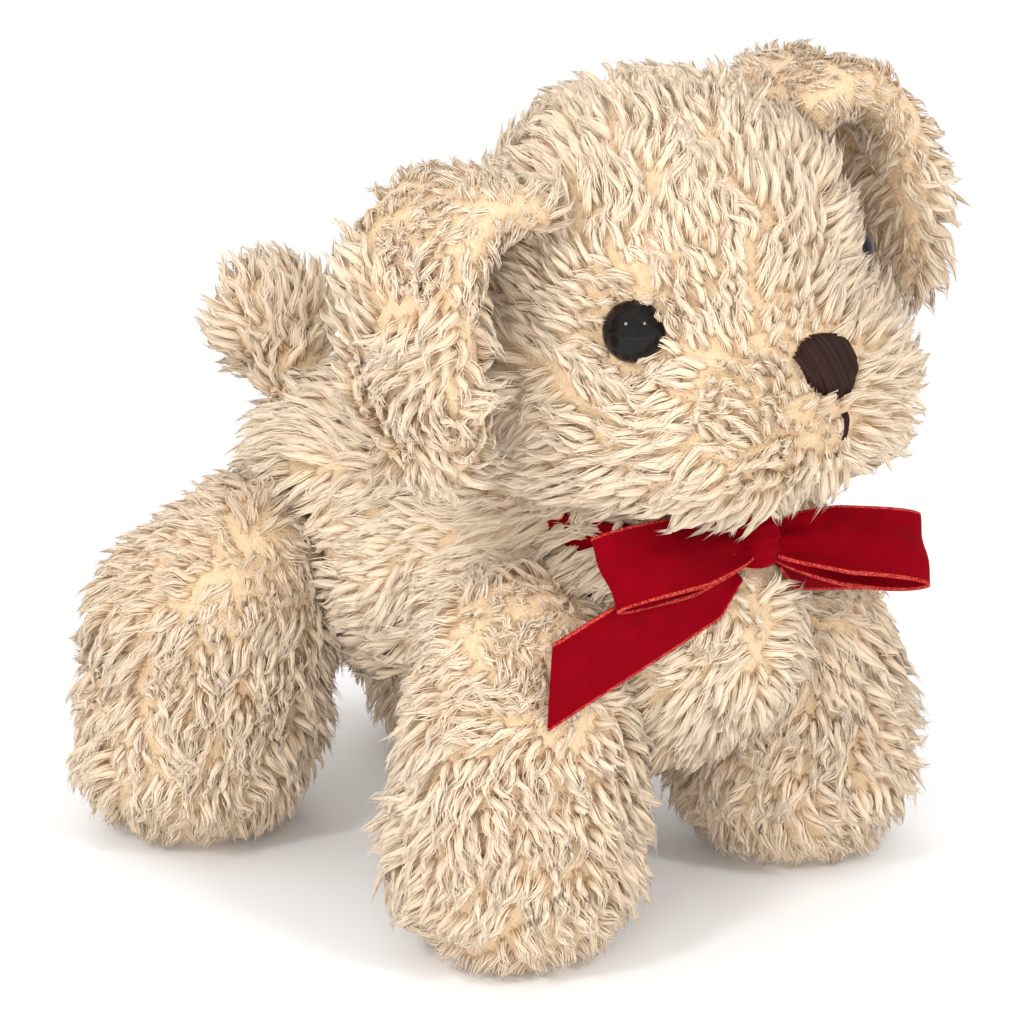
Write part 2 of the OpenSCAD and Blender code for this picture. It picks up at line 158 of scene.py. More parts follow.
def skin_of(name, nodes, body, voxel, passes):
    """The soft surface under the pile, from copies of the cut pieces and their filling."""
    bm = bmesh.new()
    for node in nodes:
        bm.from_mesh(frame["nodes"][node].data)
    bmesh.ops.remove_doubles(bm, verts=bm.verts, dist=1e-6)
    skin = keep(name, bm)
    remesh = skin.modifiers.new("even", "REMESH")
    remesh.mode = "VOXEL"
    remesh.voxel_size = voxel
    applied(skin)
    bm = bmesh.new()
    bm.from_mesh(skin.data)
    outer_shell(bm)
    for _ in range(passes):
        bmesh.ops.smooth_vert(bm, verts=bm.verts, factor=0.5,
                              use_axis_x=True, use_axis_y=True, use_axis_z=True)
    bm.to_mesh(skin.data)
    bm.free()
    skin.data.polygons.foreach_set("use_smooth", [True] * len(skin.data.polygons))
    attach(skin, body)
    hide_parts(*nodes)
    return skin


def swept(name, paths, radii, sides=3, marks=None):
    """One closed tapered strand along each path. paths is strands x points x 3, radii strands x points.
    The last point of each is its tip. marks are values held by each strand's points."""
    count, points = paths.shape[:2]
    rings = points - 1
    ahead = np.gradient(paths, axis=1)
    ahead /= np.linalg.norm(ahead, axis=2, keepdims=True) + 1e-12
    across = np.cross(ahead, np.array([0.31, 0.52, 0.79]))
    across /= np.linalg.norm(across, axis=2, keepdims=True) + 1e-12
    up = np.cross(ahead, across)
    angles = np.arange(sides) * 2 * math.pi / sides
    ring = (
        paths[:, :rings, None]
        + radii[:, :rings, None, None]
        * (
            across[:, :rings, None] * np.cos(angles)[:, None]
            + up[:, :rings, None] * np.sin(angles)[:, None]
        )
    )
    verts = np.concatenate([ring.reshape(count, rings * sides, 3), paths[:, -1:]], axis=1)
    each = rings * sides + 1
    quads, caps = [], []
    for r in range(rings - 1):
        for s in range(sides):
            n = (s + 1) % sides
            quads.append([r * sides + s, r * sides + n, (r + 1) * sides + n, (r + 1) * sides + s])
    for s in range(sides):
        caps.append([(rings - 1) * sides + s, (rings - 1) * sides + (s + 1) % sides, each - 1])
    floor = list(range(sides - 1, -1, -1))
    sizes = np.array([4] * len(quads) + [3] * len(caps) + [sides])
    corners = np.array(sum(quads, []) + sum(caps, []) + floor)
    all_corners = (corners[None] + (np.arange(count) * each)[:, None]).ravel()
    all_sizes = np.tile(sizes, count)
    starts = np.concatenate([[0], np.cumsum(all_sizes)[:-1]])
    mesh = bpy.data.meshes.new(name)
    mesh.vertices.add(count * each)
    mesh.loops.add(len(all_corners))
    mesh.polygons.add(len(all_sizes))
    mesh.vertices.foreach_set("co", verts.astype(np.float32).ravel())
    mesh.loops.foreach_set("vertex_index", all_corners.astype(np.int32))
    mesh.polygons.foreach_set("loop_start", starts.astype(np.int32))
    mesh.update(calc_edges=True)
    mesh.validate()
    along = np.linspace(0, 1, points)
    marks = dict(marks or {})
    marks["along"] = np.tile(along, (count, 1))
    if sides > 3:
        wheel = np.array([(math.cos(a), math.sin(a)) for a in angles])
        grain = np.zeros((count, each, 3))
        grain[:, :-1, :2] = np.tile(wheel, (rings, 1))[None]
        grain[:, :-1, 2] = np.repeat(along[:rings], sides)[None]
        grain[:, -1, 2] = 1
        marks["grain"] = grain
    for label, values in marks.items():
        if label == "grain":
            full = values
        else:
            full = np.concatenate([np.repeat(values[:, :rings], sides, axis=1), values[:, -1:]], axis=1)
        kind, field = ("FLOAT", "value") if full.ndim == 2 else ("FLOAT_VECTOR", "vector")
        attribute = mesh.attributes.new(label, kind, "POINT")
        attribute.data.foreach_set(field, full.astype(np.float32).ravel())
    return place(name, mesh)


# ---------------------------------------------------------------- materials


class Wire:
    """A node's output that takes part in plain arithmetic."""

    def __init__(self, shader, socket):
        self.shader, self.socket = shader, socket

    def _with(self, operation, first, second):
        return self.shader.node("ShaderNodeMath", {"operation": operation}, {0: first, 1: second})

    def __add__(self, other):
        return self._with("ADD", self, other)

    __radd__ = __add__

    def __sub__(self, other):
        return self._with("SUBTRACT", self, other)

    def __rsub__(self, other):
        return self._with("SUBTRACT", other, self)

    def __mul__(self, other):
        return self._with("MULTIPLY", self, other)

    __rmul__ = __mul__


class Shader:
    """A material with one Principled surface, and the nodes that feed it."""

    def __init__(self, name, **constants):
        self.material = bpy.data.materials.new(name)
        self.material.use_nodes = True
        self.tree = self.material.node_tree
        self.tree.nodes.clear()
        out = self.tree.nodes.new("ShaderNodeOutputMaterial")
        self.surface = self.tree.nodes.new("ShaderNodeBsdfPrincipled")
        self.tree.links.new(self.surface.outputs[0], out.inputs["Surface"])
        self.feed(self.surface, constants)

    def feed(self, node, values):
        for key, value in values.items():
            socket = node.inputs[key.replace("_", " ") if isinstance(key, str) else key]
            if isinstance(value, Wire):
                self.tree.links.new(value.socket, socket)
            elif hasattr(value, "__len__") and len(value) == 3 and socket.type == "RGBA":
                socket.default_value = (*value, 1)
            else:
                socket.default_value = value

    def node(self, kind, settings=None, values=None, output=0):
        made = self.tree.nodes.new(kind)
        for key, value in (settings or {}).items():
            if key == "stops":
                ramp = made.color_ramp
                while len(ramp.elements) < len(value):
                    ramp.elements.new(0.5)
                for element, (at, colour) in zip(ramp.elements, value):
                    element.position = at
                    element.color = (*colour, 1) if len(colour) == 3 else colour
            else:
                setattr(made, key, value)
        self.feed(made, values or {})
        return Wire(self, made.outputs[output])

    def place(self, scale=(1, 1, 1)):
        spot = self.node("ShaderNodeTexCoord", output="Object")
        if tuple(scale) == (1, 1, 1):
            return spot
        return self.node("ShaderNodeMapping", None, {"Vector": spot, "Scale": scale})

    def noise(self, size, detail=2.0, rough=0.5, where=None, output=0):
        """A soft pattern whose patches are about size millimetres across."""
        where = where or self.place()
        values = {"Vector": where, "Scale": 1 / (size * MM), "Detail": detail, "Roughness": rough}
        return self.node("ShaderNodeTexNoise", None, values, output)

    def mark(self, label):
        return self.node("ShaderNodeAttribute", {"attribute_name": label}, output="Fac")

    def ramp(self, value, *stops):
        return self.node("ShaderNodeValToRGB", {"stops": list(stops)}, {"Fac": value})

    def mix(self, share, first, second):
        return self.node(
            "ShaderNodeMix", {"data_type": "RGBA"}, {0: share, 6: first, 7: second}, output=2
        )

    def between(self, value, low, high, start=0.0, end=1.0):
        values = {"Value": value, 1: low, 2: high, 3: start, 4: end}
        return self.node("ShaderNodeMapRange", {"clamp": True}, values)

    def bump(self, height, distance, strength=1.0):
        values = {"Height": height, "Distance": distance * MM, "Strength": strength}
        self.feed(self.surface, {"Normal": self.node("ShaderNodeBump", None, values)})

    def set(self, **values):
        self.feed(self.surface, values)
        return self


def colour_of(group, name):
    return tuple(getattr(group, name))


def pile_finish(name, tip, middle_tone, root, speck, streaks=False):
    """Long pile: pale tips, tan lengths, brown roots painted darker and warmer as shade deep in the
    pile, and patches that lean to one or the other.
    """
    shader = Shader(name, Roughness=0.9, Sheen_Weight=0.1, Sheen_Roughness=0.5, Specular_IOR_Level=0.08)
    shader.feed(shader.surface, {"Sheen Tint": (1.0, 0.9, 0.75)})
    along, lock, strand = shader.mark("along"), shader.mark("lock"), shader.mark("strand")
    patch = shader.noise(14, 2.0)
    tone = along + (patch - 0.5) * 0.35 + (lock - 0.5) * 0.3 + (strand - 0.5) * 0.3
    # the ramp runs from the root tone at each strand's base to the tip; the darker, warmer root tone is
    # painted shade deep in the pile
    colour = shader.ramp(tone, (0.0, root), (0.28, middle_tone), (0.75, tip), (1.0, tip))
    dark = shader.between(strand, 0.93, 0.97) * shader.between(along, 0.75, 0.3)
    colour = shader.mix(dark * 0.6, colour, speck)
    warm = shader.between(shader.noise(22, 1.0), 0.45, 0.7) * 0.35
    colour = shader.mix(warm, colour, middle_tone)
    if streaks:
        grain = shader.node("ShaderNodeAttribute", {"attribute_name": "grain"}, output="Vector")
        where = shader.node("ShaderNodeMapping", None, {"Vector": grain, "Scale": (3.2, 3.2, 0.9)})
        apart = shader.node("ShaderNodeCombineXYZ", None, {0: lock * 40.0, 1: strand * 60.0, 2: 0.0})
        where = shader.node("ShaderNodeVectorMath", {"operation": "ADD"}, {0: where, 1: apart})
        values = {"Vector": where, "Scale": 1.0, "Detail": 3.0, "Roughness": 0.6}
        fine = shader.node("ShaderNodeTexNoise", None, values)
        # the streaks draw fibres along the lock; the darkest take the root tone, painted shade between
        # the fibres
        colour = shader.mix(shader.between(fine, 0.62, 0.38) * 0.55, colour, middle_tone)
        colour = shader.mix(shader.between(fine, 0.42, 0.28) * 0.5, colour, root)
    # light falls on a lock much as on the body under it
    under = shader.node(
        "ShaderNodeVectorTransform",
        {"vector_type": "NORMAL", "convert_from": "OBJECT", "convert_to": "WORLD"},
        {"Vector": shader.node("ShaderNodeAttribute", {"attribute_name": "facing"}, output="Vector")},
    )
    own = shader.node("ShaderNodeNewGeometry", output="Normal")
    both = shader.node("ShaderNodeMix", {"data_type": "VECTOR"}, {0: 0.45, 4: own, 5: under}, output=1)
    normal = shader.node("ShaderNodeVectorMath", {"operation": "NORMALIZE"}, {0: both}, output=0)
    if streaks:
        values = {"Height": fine, "Distance": 0.5 * MM, "Strength": 0.8, "Normal": normal}
        normal = shader.node("ShaderNodeBump", None, values)
    shader.set(Base_Color=colour, Normal=normal)
    return shader.material


def ground_finish(name, light, dark):
    """The short dense pile that shows between the locks."""
    shader = Shader(name, Roughness=0.95, Sheen_Weight=0.2, Specular_IOR_Level=0.1)
    grain = shader.noise(1.1, 4.0, 0.7)
    colour = shader.ramp(grain, (0.3, dark), (0.7, light))
    shader.set(Base_Color=colour)
    shader.bump(shader.noise(0.8, 3.0, 0.7), 0.8)
    return shader.material


# ---------------------------------------------------------------- pile


def tree_of(*things, moved=Matrix.Identity(4)):
    spots, faces = [], []
    for thing in things:
        start = len(spots)
        spots += [moved @ v.co for v in thing.data.vertices]
        faces += [[start + i for i in p.vertices] for p in thing.data.polygons]
    return BVHTree.FromPolygons(spots, faces)


def spots_on(skin, spacing, rng):
    """Evenly scattered points of a skin and the way it faces there."""
    mesh = skin.data
    mesh.calc_loop_triangles()
    tris = np.zeros(len(mesh.loop_triangles) * 3, np.int32)
    mesh.loop_triangles.foreach_get("vertices", tris)
    tris = tris.reshape(-1, 3)
    co = np.zeros(len(mesh.vertices) * 3, np.float32)
    mesh.vertices.foreach_get("co", co)
    co = co.reshape(-1, 3).astype(float)
    facing = np.zeros(len(mesh.vertices) * 3, np.float32)
    mesh.vertices.foreach_get("normal", facing)
    facing = facing.reshape(-1, 3).astype(float)
    a, b, c = co[tris[:, 0]], co[tris[:, 1]], co[tris[:, 2]]
    area = np.linalg.norm(np.cross(b - a, c - a), axis=1) / 2
    tries = int(area.sum() / (spacing * spacing) * 4)
    pick = rng.choice(len(tris), tries, p=area / area.sum())
    u, v = rng.random(tries), rng.random(tries)
    flip = u + v > 1
    u[flip], v[flip] = 1 - u[flip], 1 - v[flip]
    w = 1 - u - v
    spots = a[pick] * w[:, None] + b[pick] * u[:, None] + c[pick] * v[:, None]
    out = sum(facing[tris[pick, k]] * share[:, None] for k, share in enumerate((w, u, v)))
    out /= np.linalg.norm(out, axis=1, keepdims=True) + 1e-12
    near = kdtree.KDTree(tries)
    for i, spot in enumerate(spots):
        near.insert(spot, i)
    near.balance()
    free, kept = np.ones(tries, bool), []
    for i in range(tries):
        if free[i]:
            kept.append(i)
            for _, other, _ in near.find_range(spots[i], spacing):
                free[other] = False
    return spots[kept], out[kept]


def nearest(spots, centres):
    tree = kdtree.KDTree(len(centres))
    for i, centre in enumerate(centres):
        tree.insert(centre, i)
    tree.balance()
    return np.array([tree.find(spot)[1] for spot in spots])


def hidden(spots, out, others, reach):
    """Which points would grow their pile into another skin."""
    tips = spots + out * reach
    covered = np.zeros(len(spots), bool)
    for tree in others:
        for i, tip in enumerate(tips):
            if not covered[i]:
                where, way, _, _ = tree.find_nearest(Vector(tip))
                covered[i] = (Vector(tip) - where).dot(way) < 0
    return covered


def drift(spots, size):
    """A smooth field of small vectors, for locks that lie together."""
    return np.array([noise.noise_vector(Vector(spot) / size) for spot in spots])


def along_skin(ways, out):
    ways = ways - (ways * out).sum(1)[:, None] * out
    return ways / (np.linalg.norm(ways, axis=1, keepdims=True) + 1e-9)


def bow_from(joint, *degrees):
    """The bow as a body sees it at rest and with its joint at each of these angles."""
    at, axis = Vector(JOINTS[joint]["pos_m"]), Vector(JOINTS[joint]["axis"])
    turns = [Matrix.Rotation(math.radians(-angle), 4, axis) for angle in (0, *degrees)]
    there, back = Matrix.Translation(at), Matrix.Translation(-at)
    return [tree_of(*BOW, moved=there @ turn @ back) for turn in turns]


def cleared(spots, out, ways, side, start, bend, grown, trees):
    """The share of each lock that stops short of the ribbon in front of it."""
    share = np.ones(len(spots))
    rise = (np.sin(start + bend) - np.sin(start)) / bend
    run = (np.cos(start) - np.cos(start + bend)) / bend
    reach = (out * rise[:, None] + ways * run[:, None]) * grown[:, None] * 1.15
    for offset in (-1.4, 0.0, 1.4):
        for i, (spot, way) in enumerate(zip(spots + out * 0.0002 + side * offset * MM, reach)):
            long = float(np.linalg.norm(way))
            for tree in trees:
                far = tree.ray_cast(Vector(spot), Vector(way), long)[3]
                if far is not None:
                    share[i] = min(share[i], max(0.12, (far - 1.3 * MM) / long))
    return share


def crossing(paths, trees):
    """Which strands would pass through the ribbon."""
    through = np.zeros(len(paths), bool)
    for i, path in enumerate(paths):
        spots = [Vector(spot) for spot in path]
        for tree in trees:
            if tree.find_nearest(spots[0], 0.016)[0] is None:
                continue
            for first, second in zip(spots, spots[1:]):
                step = second - first
                if tree.ray_cast(first, step, step.length)[0] is not None:
                    through[i] = True
    return through


def grow(name, skin, others, comb, body, finish, seed, length=9.0, spacing=2.05, strands=8,
         lift=(28, 72), curl=0.8, tuft=6.5, pull=0.32, width=0.125, body_width=0.72, swirl=0.9,
         trim=None, bare=None, stand=None, clear=(), pieces=1):
    """Locks of pile all over a skin. comb gives each spot the way its lock lies, trim a share of
    the length, and bare the spots with none. Sizes are in millimetres and degrees."""
    rng = np.random.default_rng(seed)
    spots, out = spots_on(skin, spacing * MM, rng)
    shown = ~hidden(spots, out, others, 4.5 * MM)
    if bare is not None:
        shown &= ~bare(spots, out)
    shown &= ~((out[:, 2] < -0.75) & (spots[:, 2] < 4 * MM))
    spots, out = spots[shown], out[shown]
    share = np.ones(len(spots)) if trim is None else trim(spots, out)
    ways = along_skin(comb(spots, out) + drift(spots, 0.018) * swirl, out)
    # tufts: neighbouring locks lean together and share their length and tone
    centres, _ = spots_on(skin, tuft * MM, rng)
    group = nearest(spots, centres)
    turn = rng.normal(0, 0.35, len(centres))[group] + rng.normal(0, 0.2, len(spots))
    side = np.cross(out, ways)
    ways = ways * np.cos(turn)[:, None] + side * np.sin(turn)[:, None]
    side = np.cross(out, ways)
    grown = length * MM * share * rng.uniform(0.8, 1.15, len(centres))[group]
    grown *= rng.uniform(0.85, 1.1, len(spots))
    start = np.radians(lift[0]) + rng.normal(0, 0.12, len(spots))
    start = start + rng.normal(0, 0.14, len(centres))[group]
    bend = np.radians(lift[1] - lift[0]) + rng.normal(0, 0.15, len(spots))
    if stand is not None:
        start, bend = start * stand(spots), bend * stand(spots)
    start, bend = np.clip(start, 0.05, 1.3), np.clip(bend, 0.15, 1.4)
    if clear:
        grown *= cleared(spots, out, ways, side, start, bend, grown, clear)
    phase, beats = rng.uniform(0, 6.28, len(spots)), rng.uniform(0.7, 1.3, len(spots))
    toward = along_skin(centres[group] - spots, out) * np.minimum(
        np.linalg.norm(centres[group] - spots, axis=1), tuft * MM
    )[:, None]
    tone = np.clip(rng.normal(0.5, 0.16, len(centres))[group] + rng.normal(0, 0.12, len(spots)), 0, 1)

    def trace(own, steps, reach, jitter, spread):
        reach = reach[:, None] * steps[None]
        s0, db = start[own][:, None], bend[own][:, None]
        rise = (np.sin(s0 + db * reach) - np.sin(s0)) / db
        run = (np.cos(s0) - np.cos(s0 + db * reach)) / db
        angle = phase[own][:, None] + beats[own][:, None] * 6.28 * reach + jitter[:, None]
        amount = curl * MM * reach * share[own][:, None]
        long = grown[own][:, None]
        height = rise * long + 0.35 * amount * np.cos(angle) - 0.6 * MM * (1 - steps)
        paths = (
            spots[own][:, None]
            + out[own][:, None] * height[..., None]
            + ways[own][:, None] * (run * long)[..., None]
            + side[own][:, None] * (amount * np.sin(angle))[..., None]
            + spread[:, None] * (1 - 0.62 * steps ** 1.5)[None, :, None]
            + toward[own][:, None] * (pull * steps ** 1.3)[None, :, None]
        )
        paths[:, :, 2] = np.maximum(paths[:, :, 2], 0.5 * MM)
        return paths

    def marks_of(own, odd, points):
        return {
            "lock": np.repeat(tone[own][:, None], points, axis=1),
            "strand": np.repeat(odd[:, None], points, axis=1),
            "facing": np.repeat(out[own][:, None], points, axis=1),
        }

    # the body of each lock
    whole = np.arange(len(spots))
    cores = trace(whole, np.linspace(0, 1, 5), rng.uniform(0.75, 0.92, len(spots)),
                  np.zeros(len(spots)), np.zeros((len(spots), 3)))
    thick = body_width * MM * rng.uniform(0.8, 1.15, len(spots)) * np.clip(share, 0.45, 1)
    core_radii = thick[:, None] * np.array([0.9, 1.0, 0.9, 0.55, 0.0])[None]
    core_marks = marks_of(whole, rng.random(len(spots)) * 0.9, 5)
    # loose strands: each follows its lock, spread at the root and gathered at the tip
    count = len(spots) * strands
    own = np.repeat(whole, strands)
    ring_angle = rng.uniform(0, 6.28, count)
    ring_out = np.sqrt(rng.uniform(0.25, 1, count)) * spacing * 0.7 * MM
    spread = (
        ways[own] * (np.cos(ring_angle) * ring_out)[:, None]
        + side[own] * (np.sin(ring_angle) * ring_out)[:, None]
    )
    paths = trace(own, np.array([0.0, 0.36, 0.7, 1.0]), rng.uniform(0.64, 1.08, count),
                  rng.normal(0, 0.5, count), spread)
    thin = width * MM * rng.uniform(0.7, 1.15, count)
    radii = thin[:, None] * np.array([0.9, 1.0, 0.8, 0.0])[None]
    marks = marks_of(own, rng.random(count), 4)
    free, free_cores = np.ones(count, bool), np.ones(len(spots), bool)
    if clear:
        free, free_cores = ~crossing(paths, clear), ~crossing(cores, clear)
    for part in range(pieces):
        # each piece takes a run of whole locks, sorted by height so that the parts lie together
        order = np.argsort(spots[:, 2])
        chosen = np.zeros(len(spots), bool)
        chosen[order[part * len(order) // pieces:(part + 1) * len(order) // pieces]] = True
        mine = chosen[own] & free
        chosen &= free_cores
        label = name if pieces == 1 else f"{name}_{part + 1}"
        loose = swept(f"{label}_strands", paths[mine], radii[mine], 3,
                      {k: v[mine] for k, v in marks.items()})
        locks = swept(f"{label}_locks", cores[chosen], core_radii[chosen], 5,
                      {k: v[chosen] for k, v in core_marks.items()})
        for pile, look in ((loose, finish[0]), (locks, finish[1])):
            pile.data.materials.append(look)
            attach(pile, body)


# ---------------------------------------------------------------- settings


def colour_setting(name, text, default):
    return bpy.props.FloatVectorProperty(
        name=name, description=text, subtype="COLOR", size=3, min=0, max=1, default=default
    )


def length_setting(name, text, default):
    return bpy.props.FloatProperty(
        name=name, description=text, unit="LENGTH", subtype="DISTANCE", min=0.0, default=default
    )


class PileSettings(bpy.types.PropertyGroup):
    tip: colour_setting("Tip", "Colour of the pile's tips", (0.84, 0.69, 0.53))
    length_tone: colour_setting("Length", "Colour along the pile", (0.88, 0.71, 0.52))
    # the root tone is darker and warmer than the lengths: painted shade deep in the pile
    root: colour_setting("Root", "Colour at the pile's roots", (0.82, 0.57, 0.33))
    speck: colour_setting("Speck", "Colour of the odd dark hair", (0.22, 0.12, 0.07))
    torso_pile: length_setting("Torso pile", "Length of the pile on the torso", 9 * MM)
    head_pile: length_setting("Head pile", "Length of the pile on the head", 9 * MM)
    leg_pile: length_setting("Leg pile", "Length of the pile on the legs", 9.5 * MM)
    ear_pile: length_setting("Ear pile", "Length of the pile on the ears", 9 * MM)
    tail_pile: length_setting("Tail pile", "Length of the pile on the tail", 10 * MM)


class TrimSettings(bpy.types.PropertyGroup):
    velvet: colour_setting("Velvet", "Colour of the ribbon", (0.165, 0.0004, 0.004))
    selvedge: colour_setting("Edge", "Colour of the ribbon's stitched edges", (0.36, 0.012, 0.016))
    thread: colour_setting("Nose thread", "Colour of the nose's thread", (0.012, 0.004, 0.003))
    eye: colour_setting("Eye", "Colour of the eyes", (0.006, 0.005, 0.005))
    ribbon_width: length_setting("Ribbon width", "Width of the ribbon", 15 * MM)
    ribbon_thickness: length_setting("Ribbon thickness", "Thickness of the ribbon", 0.7 * MM)


class StageSettings(bpy.types.PropertyGroup):
    azimuth: bpy.props.FloatProperty(
        name="Azimuth", description="Way round the puppy that the camera stands", subtype="ANGLE",
        default=math.radians(-45),
    )
    elevation: bpy.props.FloatProperty(
        name="Elevation", description="Height of the camera as an angle", subtype="ANGLE",
        default=math.radians(16.5),
    )
    distance: length_setting("Distance", "Distance of the camera", 0.9)
    focal: bpy.props.FloatProperty(
        name="Focal length", description="Length of the camera's lens in millimetres", default=156.4
    )
    floor: colour_setting("Floor", "Colour of the floor", (0.9, 0.9, 0.9))


# ---------------------------------------------------------------- pieces


class PUPPY_OT_camera(bpy.types.Operator):
    """Make the camera"""

    bl_idname = "puppy.camera"
    bl_label = "Camera"

    def execute(self, context):
        settings = context.scene.puppy_stage
        a, e = settings.azimuth, settings.elevation
        back = Vector((math.sin(a) * math.cos(e), -math.cos(a) * math.cos(e), math.sin(e)))
        centre, aim = Vector((0, 1.5, 84)) * MM, Vector((-3.4, 0.3, 73)) * MM
        data = bpy.data.cameras.new("camera")
        data.lens = settings.focal
        data.sensor_width = 36
        data.clip_start, data.clip_end = 0.05, 20
        camera = bpy.data.objects.new("camera", data)
        context.scene.collection.objects.link(camera)
        camera.location = centre + back * settings.distance
        camera.rotation_euler = (aim - camera.location).to_track_quat("-Z", "Y").to_euler()
        context.scene.camera = camera
        return {"FINISHED"}


class PUPPY_OT_stage(bpy.types.Operator):
    """Make the floor, the lights and the pale surroundings"""

    bl_idname = "puppy.stage"
    bl_label = "Stage"

    def execute(self, context):
        scene = context.scene
        scene.view_settings.view_transform = "Standard"
        bm = bmesh.new()
        bmesh.ops.create_grid(bm, x_segments=1, y_segments=1, size=6)
        floor = keep("floor", bm, smooth=False)
        shader = Shader("pale floor", Roughness=0.9, Specular_IOR_Level=0.2)
        tone = shader.noise(300, 2.0)
        colour = colour_of(scene.puppy_stage, "floor")
        shader.set(Base_Color=shader.mix(tone, colour, (0.94, 0.94, 0.94)))
        floor.data.materials.append(shader.material)
        world = bpy.data.worlds.new("surroundings")
        world.use_nodes = True
        world.node_tree.nodes["Background"].inputs[0].default_value = (1, 1, 1, 1)
        world.node_tree.nodes["Background"].inputs[1].default_value = 0.96
        scene.world = world
        for name, place_at, size, power in (
            ("key", (-1.0, -0.15, 0.9), 0.2, 4.5),
            ("second", (0.0, -1.05, 0.9), 0.2, 4.5),
            ("front", (-1.15, -0.85, 0.35), 0.9, 11),
            ("back", (0.4, 1.1, 1.0), 0.6, 2.5),
        ):
            data = bpy.data.lights.new(name, "AREA")
            data.shape = "SQUARE"
            data.size = size
            data.energy = power
            lamp = bpy.data.objects.new(name, data)
            scene.collection.objects.link(lamp)
            lamp.location = place_at
            lamp.visible_glossy = name != "front"
            aim = Vector((0, 0, 0.08)) - lamp.location
            lamp.rotation_euler = aim.to_track_quat("-Z", "Y").to_euler()
        return {"FINISHED"}


SKINS = {}
BOW = []
LEGS = ("front_right", "front_left", "rear_right", "rear_left")
SKIN_NODES = {
    "torso": ("torso_right_panel", "torso_left_panel", "belly_gusset", "torso_filling"),
    "head": ("head_right_panel", "head_left_panel", "head_gusset", "muzzle_panel", "head_filling"),
    "ear_right": ("ear_right_outer", "ear_right_lining"),
    "ear_left": ("ear_left_outer", "ear_left_lining"),
    "tail": ("tail_cover", "tail_filling"),
    **{f"leg_{leg}": (f"leg_{leg}_cover", f"leg_{leg}_filling") for leg in LEGS},
}


class PUPPY_OT_skins(bpy.types.Operator):
    """Make the soft surfaces under the pile"""

    bl_idname = "puppy.skins"
    bl_label = "Skins"

    def execute(self, context):
        pile = context.scene.puppy_pile
        root, along = np.array(colour_of(pile, "root")), np.array(colour_of(pile, "length_tone"))
        # the ground between the locks takes tones darker than the lengths, towards the root tone:
        # painted shade between the locks
        shaded_ground = ground_finish("ground pile", tuple(root * 0.4 + along * 0.6), tuple(root * 0.9))
        for body, nodes in SKIN_NODES.items():
            thin = body.startswith("ear")
            skin = skin_of(f"{body}_skin", nodes, body, (1.5 if thin else 2.3) * MM, 10 if thin else 5)
            skin.data.materials.clear()
            skin.data.materials.append(shaded_ground)
            "cream_pile" if body in ("torso", "head") else "curly_pile"
            SKINS[body] = skin
        # the neck's sleeve closes the seam between the torso and the head
        bm = bmesh.new()
        bmesh.ops.create_uvsphere(bm, u_segments=48, v_segments=24, radius=1)
        bmesh.ops.scale(bm, vec=Vector((25, 25, 7.5)) * MM, verts=bm.verts)
        bmesh.ops.translate(bm, vec=NECK, verts=bm.verts)
        sleeve = keep("neck_sleeve", bm)
        sleeve.data.materials.append(shaded_ground)
        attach(sleeve, "neck")
        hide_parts("neck_filling")
        SKINS["neck"] = sleeve
        return {"FINISHED"}


def far_from(spots, centre):
    return np.linalg.norm(spots - np.array(centre), axis=1)


